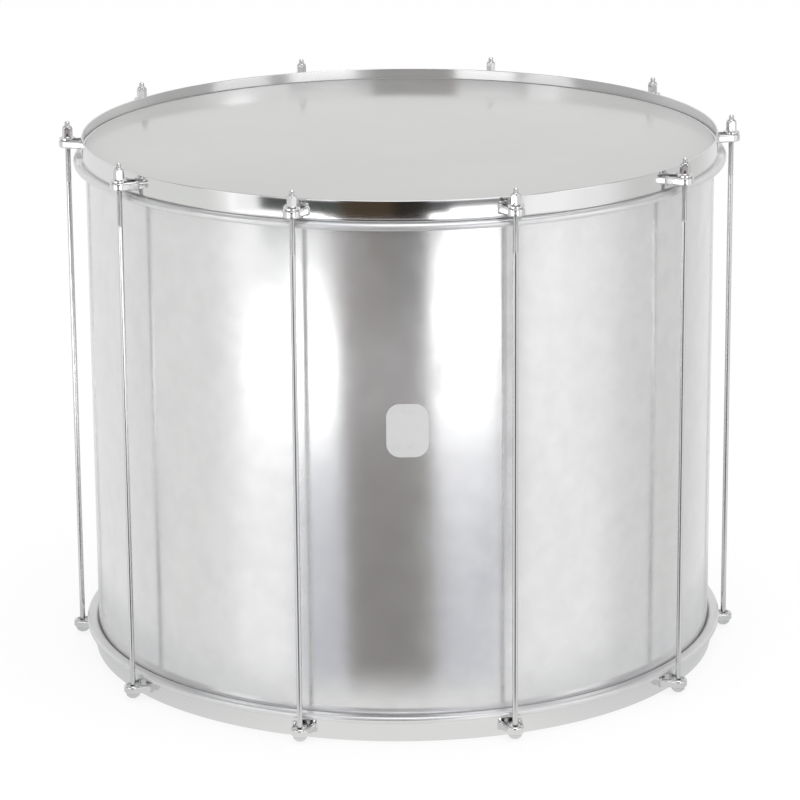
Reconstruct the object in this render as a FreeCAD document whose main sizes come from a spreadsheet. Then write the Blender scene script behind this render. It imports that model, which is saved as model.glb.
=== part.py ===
import FreeCAD, Part
import math
import os

import Sketcher

# A surdo: a double-headed bass drum with an aluminium shell and ten tension rods.
# Millimetres. The origin is the middle of the bottom hoop's lower edge, +Z is up,
# the badge faces -Y, and lugs sit on the X axis on both sides.

Vector = FreeCAD.Vector
LUG_COUNT = 10
RIVET_COUNT = 9
# The first lug is on the -X side, left of the badge
FIRST_LUG_ANGLE = 180.0
LUG_STEP = 360.0 / LUG_COUNT
SEAM_ANGLE = 90.0
# Each nut stops this much further round than its neighbour, in degrees
NUT_TURN_STEP = 37.0

# Driving dimensions, one row each: name, value, what it is
DIMENSIONS = [
    ("total_height", 470.0, "bottom edge of the lower hoop to the rim of the upper one"),
    ("shell_radius", 279.0, "outside of the shell, a 22 inch drum"),
    ("shell_wall", 1.2, "aluminium sheet"),
    ("head_depth", 10.0, "rim down to the underside of the playing head"),
    ("foot_depth", 9.7, "lower hoop's edge up to the inner side of the resonant head"),
    ("head_clearance", 0.3, "between the shell's edge and the playing head"),
    ("bead_width", 6.0, "width of the edge curled in at both ends of the shell"),
    ("bead_depth", 9.0, "length of the curled edge's inner leg"),
    ("bead_round", 2.4, "outer bend of the curled edge"),
    ("film_thick", 0.35, "plastic head"),
    ("collar_radius", 279.45, "inside of the head's collar"),
    ("collar_bend", 1.6, "outer bend from the head to its collar"),
    ("hoop_radius", 283.2, "outside of the counterhoop's band"),
    ("hoop_sheet", 2.0, "counterhoop steel"),
    ("hoop_lip", 0.7, "rounded edges of the counterhoop"),
    ("band_depth", 15.2, "rim down to the flesh hoop, the counterhoop's height"),
    ("flesh_depth", 24.0, "rim down to the flesh hoop's lower side"),
    ("flesh_radius", 289.5, "outside of the flesh hoop"),
    ("flesh_round", 1.2, "lower edges of the flesh hoop"),
    ("flesh_crown", 3.2, "rounding of the flesh hoop's outer upper edge"),
    ("rod_circle", 295.0, "radius of the circle of tension rods"),
    ("rod_radius", 2.35, "plain shank of a tension rod"),
    ("thread_radius", 2.5, "rolled thread, wider than the shank"),
    ("thread_long", 55.0, "length of the thread"),
    ("thread_runout", 0.6, "height over which the shank swells to the thread"),
    ("rod_bevel", 0.9, "bevel at the rod's tip"),
    ("rod_rise", 10.0, "rod's tip above the rim"),
    ("rod_head_radius", 6.0, "domed head under the lower ear"),
    ("rod_head_tall", 4.4, "height of the domed head"),
    ("rod_head_rim", 1.5, "height of the head's upright rim"),
    ("rod_head_face", 3.7, "radius of the head's flat underside"),
    ("ear_depth", 6.3, "rim down to the nut's seat on the ear"),
    ("ear_tall", 7.1, "height of the ear's strap"),
    ("ear_strap", 3.2, "thickness of the ear's strap"),
    ("ear_nose", 7.8, "outside radius of the ear's nose round the rod"),
    ("ear_spread", 10.6, "half width of the ear where it meets the hoop"),
    ("ear_outer_round", 1.9, "rounding of the strap's outer edges"),
    ("ear_inner_round", 0.8, "rounding of the strap's inner edges"),
    ("nut_gap", 0.1, "running gap between nut and ear"),
    ("nut_bore", 2.58, "bore over the thread"),
    ("nut_foot", 7.2, "radius of the nut's foot"),
    ("nut_foot_lip", 0.35, "bevel under the foot's edge"),
    ("nut_foot_edge", 1.5, "height of the foot's edge"),
    ("nut_foot_tall", 3.0, "height of the foot where it meets the flats"),
    ("nut_flats", 8.0, "across the flats of the hexagon"),
    ("nut_tall", 12.2, "height of the nut"),
    ("nut_crown", 3.4, "radius of the nut's flat top"),
    ("nut_bevel", 2.4, "depth of the corner bevel at the nut's top"),
    ("badge_width", 35.2, "badge plate across"),
    ("badge_tall", 46.0, "badge plate upright"),
    ("badge_corner", 11.6, "corner radius of the badge plate"),
    ("badge_thick", 0.3, "badge plate"),
    ("badge_shift", 1.7, "badge plate's centre to the right of the middle"),
    ("badge_level", 274.0, "badge plate's centre above the floor"),
    ("seam_width", 32.0, "strip behind the shell's joint"),
    ("seam_thick", 1.2, "strip's sheet"),
    ("seam_margin", 24.0, "strip's end to the end of the drum"),
    ("rivet_hole", 2.05, "radius of the rivets' holes"),
    ("rivet_shank", 2.0, "rivet's shank radius"),
    ("rivet_head", 4.0, "rivet's head radius"),
    ("rivet_head_tall", 1.3, "rivet's head height"),
    ("rivet_first", 45.0, "lowest rivet above the floor"),
]


class Size:
    """A length that knows its value in millimetres and its formula on the sheet."""

    def __init__(self, value, text):
        self.value = value
        self.text = text

    def __add__(self, other):
        other = as_size(other)
        return Size(self.value + other.value, f"({self.text} + {other.text})")

    def __sub__(self, other):
        other = as_size(other)
        return Size(self.value - other.value, f"({self.text} - {other.text})")

    def __mul__(self, number):
        return Size(self.value * number, f"({self.text} * {number})")


def as_size(number):
    return number if isinstance(number, Size) else Size(float(number), f"{float(number)}")


def make_sheet(document):
    sheet = document.addObject("Spreadsheet::Sheet", "Dims")
    for row, (name, value, note) in enumerate(DIMENSIONS, start=1):
        sheet.set(f"A{row}", name)
        sheet.set(f"B{row}", f"{value}")
        sheet.setAlias(f"B{row}", name)
        sheet.set(f"C{row}", note)
    document.recompute()
    return sheet


def sizes_from(sheet):
    return {name: Size(float(sheet.get(name)), f"Dims.{name}") for name, _, _ in DIMENSIONS}


# Sketches: every corner, radius and centre is held by a named formula

def new_body(document, name):
    body = document.addObject("PartDesign::Body", name)
    body.Label = name
    return body


def new_sketch(body, plane, name):
    sketch = body.newObject("Sketcher::SketchObject", name)
    support = [part for part in body.Origin.OriginFeatures if part.Role == plane][0]
    sketch.AttachmentSupport = [(support, "")]
    sketch.MapMode = "FlatFace"
    return sketch


def hold(sketch, kind, places, size):
    """Add one dimension and bind it to its formula; the sketch's origin is (-1, 1)."""
    index = sketch.addConstraint(Sketcher.Constraint(kind, *places, size.value))
    sketch.setExpression(f"Constraints[{index}]", size.text)


def pin_point(sketch, place, across, up):
    hold(sketch, "DistanceX", (-1, 1, *place), across)
    hold(sketch, "DistanceY", (-1, 1, *place), up)


def outline(sketch, corners):
    """A closed outline of straight lines through corners given as pairs of sizes."""
    points = [Vector(across.value, up.value, 0) for across, up in corners]
    lines = []
    for start, end in zip(points, points[1:] + points[:1]):
        lines.append(sketch.addGeometry(Part.LineSegment(start, end)))
    for line, following in zip(lines, lines[1:] + lines[:1]):
        sketch.addConstraint(Sketcher.Constraint("Coincident", line, 2, following, 1))
    for line, (across, up) in zip(lines, corners):
        pin_point(sketch, (line, 1), across, up)


def revolve(body, sketch, name):
    turned = body.newObject("PartDesign::Revolution", name)
    turned.Profile = sketch
    turned.ReferenceAxis = (sketch, ["V_Axis"])
    turned.Angle = 360.0
    return turned


def edges_where(feature, wanted):
    found = []
    for number, edge in enumerate(feature.Shape.Edges, start=1):
        if wanted(edge):
            found.append(f"Edge{number}")
    return found


def circle_at(edge, radius, level):
    """Is this edge a circle about the drum's axis with this radius at this level?"""
    curve = edge.Curve
    close = 0.01
    if not isinstance(curve, Part.Circle):
        return False
    return abs(curve.Radius - radius.value) < close and abs(curve.Center.z - level.value) < close


def round_circles(body, feature, name, rings, size):
    """Round the circular edges named by pairs of radius and level."""
    body.Document.recompute()
    picked = edges_where(feature, lambda edge: any(circle_at(edge, *ring) for ring in rings))
    if len(picked) != len(rings):
        raise RuntimeError(f"{name}: {len(picked)} edges found for {len(rings)} rings")
    rounded = body.newObject("PartDesign::Fillet", name)
    rounded.Base = (feature, picked)
    rounded.setExpression("Radius", size.text)
    return rounded


def turned_over(total):
    """The placement that turns a piece of the upper end into its twin at the lower end."""
    return FreeCAD.Placement(Vector(0, 0, total.value), FreeCAD.Rotation(Vector(1, 0, 0), 180))


def about_axis(angle):
    return FreeCAD.Placement(Vector(), FreeCAD.Rotation(Vector(0, 0, 1), angle))


def lug_angles():
    """Lug angles in degrees from +X, counter-clockwise seen from above."""
    return [FIRST_LUG_ANGLE + LUG_STEP * index for index in range(LUG_COUNT)]


# The shell, its seam and its badge

def make_shell(document, dim):
    body = new_body(document, "shell")
    sketch = new_sketch(body, "XZ_Plane", "shell_profile")
    outer = dim["shell_radius"]
    inner = outer - dim["shell_wall"]
    lip = outer - dim["bead_width"]
    lip_outer = lip + dim["shell_wall"]
    low = dim["foot_depth"]
    high = dim["total_height"] - dim["head_depth"] - dim["head_clearance"]
    wall = dim["shell_wall"]
    leg = dim["bead_depth"]
    outline(sketch, [
        (outer, low), (outer, high), (lip, high), (lip, high - leg), (lip_outer, high - leg),
        (lip_outer, high - wall), (inner, high - wall), (inner, low + wall),
        (lip_outer, low + wall), (lip_outer, low + leg), (lip, low + leg), (lip, low),
    ])
    turned = revolve(body, sketch, "shell_turned")
    bends = [(outer, low), (outer, high), (lip, low), (lip, high)]
    rounded = round_circles(body, turned, "shell_bends", bends, dim["bead_round"])
    inside = [(inner, low + wall), (inner, high - wall), (lip_outer, low + wall), (lip_outer, high - wall)]
    round_circles(body, rounded, "shell_inner_bends", inside, dim["bead_round"] - wall)
    drill_seam(body, dim)
    return body


def drill_seam(body, dim):
    """One rivet hole through the back wall, repeated up the seam."""
    past_wall = 1.0
    body.Document.recompute()
    before = body.Shape.Volume
    plan = new_sketch(body, "XZ_Plane", "shell_rivet_plan")
    ring = plan.addGeometry(Part.Circle(Vector(0, dim["rivet_first"].value, 0), Vector(0, 0, 1), 1.0))
    plan.addConstraint(Sketcher.Constraint("PointOnObject", ring, 3, -2))
    hold(plan, "DistanceY", (-1, 1, ring, 3), dim["rivet_first"])
    hold(plan, "Radius", (ring,), dim["rivet_hole"])
    hole = body.newObject("PartDesign::Pocket", "shell_rivet_hole")
    hole.Profile = plan
    hole.setExpression("Length", (dim["shell_radius"] + past_wall).text)
    body.Document.recompute()
    row = body.newObject("PartDesign::LinearPattern", "shell_rivet_row")
    row.Originals = [hole]
    row.Direction = (plan, ["V_Axis"])
    row.setExpression("Length", (dim["total_height"] - dim["rivet_first"] * 2).text)
    row.Occurrences = RIVET_COUNT
    body.Tip = row
    body.Document.recompute()
    drilled = before - body.Shape.Volume
    expected = RIVET_COUNT * math.pi * dim["rivet_hole"].value ** 2 * dim["shell_wall"].value
    largest_error = expected * 0.05
    if abs(drilled - expected) > largest_error:
        raise RuntimeError(f"rivet holes took {drilled:.1f} mm3, not {expected:.1f}")


def make_seam_strip(document, dim):
    strip = document.addObject("Part::Feature", "seam_strip")
    strip.Label = "seam_strip"
    outer = dim["shell_radius"] - dim["shell_wall"]
    inner = outer - dim["seam_thick"]
    low = dim["seam_margin"].value
    tall = dim["total_height"].value - 2 * low
    spread = math.degrees(dim["seam_width"].value / outer.value)
    base = Vector(0, 0, low)
    up = Vector(0, 0, 1)
    solid = Part.makeCylinder(outer.value, tall, base, up, spread)
    hollow = Part.makeCylinder(inner.value, tall, base, up, spread)
    middle = Vector(math.cos(math.radians(spread / 2)), math.sin(math.radians(spread / 2)), 0)
    holes = [
        Part.makeCylinder(dim["rivet_hole"].value, outer.value, up * level, middle)
        for level in rivet_levels(dim)
    ]
    strip.Shape = solid.cut([hollow] + holes)
    strip.Placement = about_axis(SEAM_ANGLE - spread / 2)
    return strip


def rivet_levels(dim):
    first = dim["rivet_first"].value
    step = (dim["total_height"].value - 2 * first) / (RIVET_COUNT - 1)
    return [first + step * row for row in range(RIVET_COUNT)]


def rivet_shape(dim, level):
    """A rivet through shell and strip, on the seam at the back, with a head on both round faces."""
    face = dim["shell_radius"].value
    inside = face - dim["shell_wall"].value - dim["seam_thick"].value
    tall = dim["rivet_head_tall"].value
    head = dim["rivet_head"].value
    ball = (head * head + tall * tall) / (2 * tall)
    outward = Vector(0, 1, 0)
    low = Vector(0, 0, level - head)
    drum = Part.makeCylinder(face, 2 * head, low)
    hollow = Part.makeCylinder(inside, 2 * head, low)
    shank_long = face - inside + tall
    shank = Part.makeCylinder(
        dim["rivet_shank"].value, shank_long, Vector(0, inside - tall / 4, level), outward
    )
    dome = Part.makeSphere(ball, Vector(0, face + tall - ball, level))
    round_blank = Part.makeCylinder(head, 2 * tall, Vector(0, face - tall, level), outward)
    outer_head = dome.common(round_blank).cut(drum)
    flat_blank = Part.makeCylinder(head, tall, Vector(0, inside - tall / 2, level), outward)
    inner_head = flat_blank.common(hollow)
    return shank.fuse([outer_head, inner_head])


def make_rivets(document, dim):
    """The seam's rivets, each a solid of its own, evenly spaced up the back."""
    rivets = document.addObject("Part::Feature", "seam_rivets")
    rivets.Label = "seam_rivets"
    rivets.Shape = Part.makeCompound([rivet_shape(dim, level) for level in rivet_levels(dim)])
    rivets.Placement = FreeCAD.Placement()
    return rivets


def make_badge(document, dim):
    badge = document.addObject("Part::Feature", "badge_plate")
    badge.Label = "badge_plate"
    face = dim["shell_radius"].value
    wide = dim["badge_width"].value
    tall = dim["badge_tall"].value
    block_depth = 10.0
    block = Part.makeBox(wide, block_depth, tall, Vector(-wide / 2, -face - block_depth / 2, -tall / 2))
    through = [edge for edge in block.Edges if abs(edge.tangentAt(edge.FirstParameter).y) > 0.9]
    block = block.makeFillet(dim["badge_corner"].value, through)
    base = Vector(0, 0, -tall)
    skin = Part.makeCylinder(face + dim["badge_thick"].value, 2 * tall, base)
    badge.Shape = block.common(skin.cut(Part.makeCylinder(face, 2 * tall, base)))
    turn = math.degrees(dim["badge_shift"].value / face)
    badge.Placement = FreeCAD.Placement(
        Vector(0, 0, dim["badge_level"].value), FreeCAD.Rotation(Vector(0, 0, 1), turn)
    )
    return badge


# The heads and their hoops: made for the upper end, and turned over for the lower one

def make_film(document, dim, name, depth):
    """A head: a flat disc with a short collar, its inner face this deep below the rim."""
    body = new_body(document, name)
    sketch = new_sketch(body, "XZ_Plane", f"{name}_profile")
    inside = dim["total_height"] - depth
    outside = inside + dim["film_thick"]
    low = dim["total_height"] - dim["flesh_depth"] + dim["flesh_round"]
    inner = dim["collar_radius"]
    outer = inner + dim["film_thick"]
    middle = as_size(0)
    outline(sketch, [
        (middle, inside), (inner, inside), (inner, low), (outer, low), (outer, outside), (middle, outside),
    ])
    turned = revolve(body, sketch, f"{name}_turned")
    bend = dim["collar_bend"]
    rounded = round_circles(body, turned, f"{name}_bend", [(outer, outside)], bend)
    round_circles(body, rounded, f"{name}_inner_bend", [(inner, inside)], bend - dim["film_thick"])
    return body


def make_flesh_hoop(document, dim, name):
    body = new_body(document, name)
    sketch = new_sketch(body, "XZ_Plane", f"{name}_profile")
    high = dim["total_height"] - dim["band_depth"]
    low = dim["total_height"] - dim["flesh_depth"]
    inner = dim["collar_radius"] + dim["film_thick"]
    outer = dim["flesh_radius"]
    outline(sketch, [(inner, low), (outer, low), (outer, high), (inner, high)])
    turned = revolve(body, sketch, f"{name}_turned")
    lower = [(inner, low), (outer, low)]
    rounded = round_circles(body, turned, f"{name}_edges", lower, dim["flesh_round"])
    round_circles(body, rounded, f"{name}_crown", [(outer, high)], dim["flesh_crown"])
    return body


def make_counterhoop(document, dim, name):
    """A flat steel band on edge, which presses on the flesh hoop and carries the ears."""
    body = new_body(document, name)
    sketch = new_sketch(body, "XZ_Plane", f"{name}_profile")
    rim = dim["total_height"]
    band = dim["hoop_radius"]
    band_inner = band - dim["hoop_sheet"]
    foot = rim - dim["band_depth"]
    corners = [(band, rim), (band, foot), (band_inner, foot), (band_inner, rim)]
    outline(sketch, corners)
    turned = revolve(body, sketch, f"{name}_turned")
    round_circles(body, turned, f"{name}_lips", corners, dim["hoop_lip"])
    return body


# Lugs: an ear on each hoop, a rod through both, and a nut on top

def tangent_point(start, centre, radius, side):
    """Where a line from start touches the circle; side is +1 or -1 for the left or right touch."""
    away = start - centre
    turn = math.acos(radius / away.Length)
    angle = math.atan2(away.y, away.x) + side * turn
    return centre + Vector(math.cos(angle), math.sin(angle), 0) * radius


def arc_through(centre, radius, start, end):
    """The counter-clockwise arc from start to end."""
    first = math.atan2(start.y - centre.y, start.x - centre.x)
    last = math.atan2(end.y - centre.y, end.x - centre.x)
    return Part.ArcOfCircle(Part.Circle(centre, Vector(0, 0, 1), radius), first, last)


def make_ear_outline(sketch, dim):
    """A strap bent round the rod, its two legs spreading to the hoop's band."""
    rod = dim["rod_circle"]
    hoop = dim["hoop_radius"]
    nose = dim["ear_nose"]
    inner_nose = nose - dim["ear_strap"]
    spread = dim["ear_spread"]
    inner_spread = spread - dim["ear_strap"]
    centre = Vector(rod.value, 0, 0)
    middle = Vector(0, 0, 0)

    def on_hoop(across):
        return Vector(math.sqrt(hoop.value ** 2 - across ** 2), across, 0)

    low_outer = on_hoop(-spread.value)
    low_inner = on_hoop(-inner_spread.value)
    high_inner = on_hoop(inner_spread.value)
    high_outer = on_hoop(spread.value)
    outer_low = tangent_point(low_outer, centre, nose.value, 1)
    outer_high = tangent_point(high_outer, centre, nose.value, -1)
    inner_low = tangent_point(low_inner, centre, inner_nose.value, 1)
    inner_high = tangent_point(high_inner, centre, inner_nose.value, -1)

    leg_low = sketch.addGeometry(Part.LineSegment(low_outer, outer_low))
    arc_outer = sketch.addGeometry(arc_through(centre, nose.value, outer_low, outer_high))
    leg_high = sketch.addGeometry(Part.LineSegment(outer_high, high_outer))
    foot_high = sketch.addGeometry(arc_through(middle, hoop.value, high_inner, high_outer))
    inside_high = sketch.addGeometry(Part.LineSegment(high_inner, inner_high))
    arc_inner = sketch.addGeometry(arc_through(centre, inner_nose.value, inner_low, inner_high))
    inside_low = sketch.addGeometry(Part.LineSegment(inner_low, low_inner))
    foot_low = sketch.addGeometry(arc_through(middle, hoop.value, low_outer, low_inner))

    def tie(kind, *places):
        sketch.addConstraint(Sketcher.Constraint(kind, *places))

    tie("Tangent", leg_low, 2, arc_outer, 1)
    tie("Tangent", arc_outer, 2, leg_high, 1)
    tie("Coincident", leg_high, 2, foot_high, 2)
    tie("Coincident", foot_high, 1, inside_high, 1)
    tie("Tangent", inside_high, 2, arc_inner, 2)
    tie("Tangent", arc_inner, 1, inside_low, 1)
    tie("Coincident", inside_low, 2, foot_low, 2)
    tie("Coincident", foot_low, 1, leg_low, 1)
    tie("Coincident", foot_low, 3, -1, 1)
    tie("Coincident", foot_high, 3, -1, 1)
    tie("Coincident", arc_inner, 3, arc_outer, 3)
    pin_point(sketch, (arc_outer, 3), rod, as_size(0))
    hold(sketch, "Radius", (arc_outer,), nose)
    hold(sketch, "Radius", (arc_inner,), inner_nose)
    hold(sketch, "Radius", (foot_low,), hoop)
    hold(sketch, "Radius", (foot_high,), hoop)
    hold(sketch, "DistanceY", (leg_low, 1, -1, 1), spread)
    hold(sketch, "DistanceY", (-1, 1, leg_high, 2), spread)
    hold(sketch, "DistanceY", (inside_low, 2, -1, 1), inner_spread)
    hold(sketch, "DistanceY", (-1, 1, inside_high, 1), inner_spread)


def make_ear(document, dim, name, placement):
    body = new_body(document, name)
    sketch = new_sketch(body, "XY_Plane", f"{name}_plan")
    make_ear_outline(sketch, dim)
    seat = dim["total_height"] - dim["ear_depth"]
    sketch.setExpression("AttachmentOffset.Base.z", (seat - dim["ear_tall"]).text)
    strap = body.newObject("PartDesign::Pad", f"{name}_strap")
    strap.Profile = sketch
    strap.setExpression("Length", dim["ear_tall"].text)
    document.recompute()
    round_strap(body, strap, dim, name)
    body.Placement = placement
    return body


def round_strap(body, strap, dim, name):
    """Round the strap's long edges, the outer ones more than the inner ones."""
    rod = Vector(dim["rod_circle"].value, 0, 0)
    between = (dim["ear_nose"] - dim["ear_strap"] * 0.5).value
    hoop = dim["hoop_radius"].value
    slack = 0.05
    samples = 9

    def level_edge(edge):
        ends = [vertex.Point for vertex in edge.Vertexes]
        flat = abs(ends[0].z - ends[1].z) < slack
        on_band = all(abs(math.hypot(point.x, point.y) - hoop) < slack for point in ends)
        return flat and not on_band

    def distance_from_rod(edge):
        """Closest approach of the edge's own line to the rod's axis, seen from above."""
        points = [Vector(point.x, point.y, 0) - rod for point in edge.discretize(samples)]
        return min(point.Length for point in points)

    def is_outer(edge):
        return level_edge(edge) and distance_from_rod(edge) > between

    def is_inner(edge):
        return level_edge(edge) and distance_from_rod(edge) <= between

    outside = body.newObject("PartDesign::Fillet", f"{name}_outer_round")
    outside.Base = (strap, edges_where(strap, is_outer))
    outside.setExpression("Radius", dim["ear_outer_round"].text)
    body.Document.recompute()
    inside = body.newObject("PartDesign::Fillet", f"{name}_inner_round")
    inside.Base = (outside, edges_where(outside, is_inner))
    inside.setExpression("Radius", dim["ear_inner_round"].text)


def make_rod(document, dim, name, placement):
    """A round rod: domed head under the lower ear, plain shank, rolled thread and bevelled tip."""
    body = new_body(document, name)
    sketch = new_sketch(body, "XZ_Plane", f"{name}_profile")
    seat = dim["ear_depth"]
    bottom = seat - dim["rod_head_tall"]
    tip = dim["total_height"] + dim["rod_rise"]
    radius = dim["rod_radius"]
    head = dim["rod_head_radius"]
    middle = as_size(0)
    thread = dim["thread_radius"]
    thread_low = tip - dim["thread_long"]
    bevel = dim["rod_bevel"]
    outline(sketch, [
        (middle, bottom), (dim["rod_head_face"], bottom), (head, seat - dim["rod_head_rim"]), (head, seat),
        (radius, seat), (radius, thread_low - dim["thread_runout"]), (thread, thread_low),
        (thread, tip - bevel), (thread - bevel, tip), (middle, tip),
    ])
    revolve(body, sketch, f"{name}_turned")
    body.Placement = placement
    return body


def hexagon(across_flats):
    """Six corners about the sketch's origin."""
    corner = across_flats * (0.5 / math.cos(math.radians(30.0)))
    turns = [math.radians(60.0 * side) for side in range(6)]
    return [(corner * math.cos(turn), corner * math.sin(turn)) for turn in turns]


def make_nut(document, dim, name, placement):
    """A tall hexagon nut on a round foot, with a bevelled top and a clear bore."""
    body = new_body(document, name)
    tall = dim["nut_tall"]
    flats = dim["nut_flats"]
    foot = dim["nut_foot"]
    lip = dim["nut_foot_lip"]
    middle = as_size(0)

    plan = new_sketch(body, "XY_Plane", f"{name}_plan")
    outline(plan, hexagon(flats))
    prism = body.newObject("PartDesign::Pad", f"{name}_prism")
    prism.Profile = plan
    prism.setExpression("Length", tall.text)

    profile = new_sketch(body, "XZ_Plane", f"{name}_foot_profile")
    outline(profile, [
        (middle, middle), (foot - lip, middle), (foot, lip), (foot, dim["nut_foot_edge"]),
        (flats * 0.5, dim["nut_foot_tall"]), (middle, dim["nut_foot_tall"]),
    ])
    revolve(body, profile, f"{name}_foot")

    past_corner = flats * 0.62
    shave = new_sketch(body, "XZ_Plane", f"{name}_bevel_profile")
    outline(shave, [(dim["nut_crown"], tall), (past_corner, tall - dim["nut_bevel"]), (past_corner, tall)])
    groove = body.newObject("PartDesign::Groove", f"{name}_bevel")
    groove.Profile = shave
    groove.ReferenceAxis = (shave, ["V_Axis"])
    groove.Angle = 360.0

    bore = new_sketch(body, "XY_Plane", f"{name}_bore_plan")
    ring = bore.addGeometry(Part.Circle(Vector(), Vector(0, 0, 1), dim["nut_bore"].value))
    bore.addConstraint(Sketcher.Constraint("Coincident", ring, 3, -1, 1))
    hold(bore, "Radius", (ring,), dim["nut_bore"])
    hole = body.newObject("PartDesign::Pocket", f"{name}_bore")
    hole.Profile = bore
    hole.Type = "ThroughAll"
    hole.Reversed = True
    body.Placement = placement
    return body


def lug_name(kind, index):
    return f"{kind}_{index + 1:02d}"


def make_lugs(document, dim):
    parts = []
    rod_circle = dim["rod_circle"]
    seat = dim["total_height"] - dim["ear_depth"] + dim["nut_gap"]
    for index, angle in enumerate(lug_angles()):
        around = about_axis(angle)
        out_to_rod = FreeCAD.Placement(Vector(rod_circle.value, 0, 0), FreeCAD.Rotation())
        up_to_seat = FreeCAD.Placement(Vector(rod_circle.value, 0, seat.value), FreeCAD.Rotation())
        stopped_at = about_axis(index * NUT_TURN_STEP)
        parts.append(make_ear(document, dim, lug_name("top_ear", index), around))
        lower = turned_over(dim["total_height"]) * about_axis(-angle)
        parts.append(make_ear(document, dim, lug_name("bottom_ear", index), lower))
        parts.append(make_rod(document, dim, lug_name("tension_rod", index), around * out_to_rod))
        nut_place = around * up_to_seat * stopped_at
        parts.append(make_nut(document, dim, lug_name("tension_nut", index), nut_place))
    return parts


def check(document, parts):
    """Stop before anything is written if an object failed or a sub-part isn't a sound solid."""
    for item in document.Objects:
        if "Invalid" in item.State or "Error" in item.State:
            raise RuntimeError(f"{item.Name} is {item.State}")
    for part in parts:
        if part.Shape.isNull() or not part.Shape.isValid():
            raise RuntimeError(f"{part.Label} has no valid shape")
        print(f"{part.Label}: {len(part.Shape.Solids)} solid, {part.Shape.Volume:.1f} mm3")


def build():
    document = FreeCAD.newDocument("surdo")
    dim = sizes_from(make_sheet(document))
    parts = [make_shell(document, dim), make_seam_strip(document, dim), make_rivets(document, dim)]
    parts.append(make_badge(document, dim))
    depths = {"top": dim["head_depth"], "bottom": dim["foot_depth"]}
    for end, depth in depths.items():
        pieces = [
            make_film(document, dim, f"{end}_film", depth),
            make_flesh_hoop(document, dim, f"{end}_flesh_hoop"),
            make_counterhoop(document, dim, f"{end}_counterhoop"),
        ]
        if end == "bottom":
            for piece in pieces:
                piece.Placement = turned_over(dim["total_height"])
        parts.extend(pieces)
    parts.extend(make_lugs(document, dim))
    document.recompute()
    check(document, parts)
    os.makedirs("parts", exist_ok=True)
    for part in parts:
        part.Shape.exportStep(f"parts/{part.Label}.step")
    print(len(parts), "files written")


build()
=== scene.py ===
"""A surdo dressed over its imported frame: satin shell, chromed hoops, milky heads, threaded rods.

Lengths are metres in the row frame. The origin is the middle of the lower hoop's bottom edge, +Z is
up and the badge faces -Y. Each sub-assembly is a class that takes its main sizes from the frame.
"""

import logging
import math
import random
from dataclasses import dataclass, field
from enum import Enum
from typing import Callable, Iterable, Optional, Sequence, Union

import bmesh
import bpy
from mathutils import Matrix, Vector


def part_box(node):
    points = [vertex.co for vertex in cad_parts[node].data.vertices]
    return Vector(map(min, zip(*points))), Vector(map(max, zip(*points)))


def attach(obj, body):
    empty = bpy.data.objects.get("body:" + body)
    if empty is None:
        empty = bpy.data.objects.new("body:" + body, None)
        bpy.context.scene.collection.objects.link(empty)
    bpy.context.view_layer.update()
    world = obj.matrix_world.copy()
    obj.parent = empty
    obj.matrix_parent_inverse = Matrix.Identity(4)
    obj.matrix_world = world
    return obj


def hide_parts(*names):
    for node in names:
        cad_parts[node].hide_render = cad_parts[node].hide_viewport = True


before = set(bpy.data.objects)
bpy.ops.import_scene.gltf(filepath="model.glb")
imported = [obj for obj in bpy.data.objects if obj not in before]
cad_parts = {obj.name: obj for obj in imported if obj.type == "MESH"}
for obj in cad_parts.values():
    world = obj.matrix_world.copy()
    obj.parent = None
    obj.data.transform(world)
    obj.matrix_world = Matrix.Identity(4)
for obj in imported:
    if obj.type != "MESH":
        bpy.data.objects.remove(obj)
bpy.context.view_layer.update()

MM = 0.001
TAU = 2.0 * math.pi
SEED = 22
LUG_COUNT = 10
ON_AXIS = 1e-9
HALF_TURN = 180.0
FULL_TURN = 360.0
MIX_FIRST, MIX_SECOND, MIX_RESULT = 6, 7, 2

Colour = tuple[float, float, float]
Point = tuple[float, float]
Point3 = tuple[float, float, float]
Span = tuple[float, float]
Fed = Union[bpy.types.NodeSocket, float, Colour]

WHITE: Colour = (1.0, 1.0, 1.0)

log = logging.getLogger("surdo")


class End(Enum):
    """An end of the drum, with the names that its nodes and its body go by."""

    TOP = ("top", "top_hoop")
    BOTTOM = ("bottom", "drum")

    @property
    def prefix(self) -> str:
        """The word that starts this end's node names."""
        return self.value[0]

    @property
    def body(self) -> str:
        """The body that this end's hoop moves with."""
        return self.value[1]


class Slot(Enum):
    """Material slot names from the record; nothing in this script uses them."""

    SHELL = "shell_aluminium"
    FLESH_HOOP = "hoop_aluminium"
    HOOP = "hoop_chrome"
    EAR = "ear_chrome"
    ROD = "rod_plating"
    FILM = "head_film"


# Shader building

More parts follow.
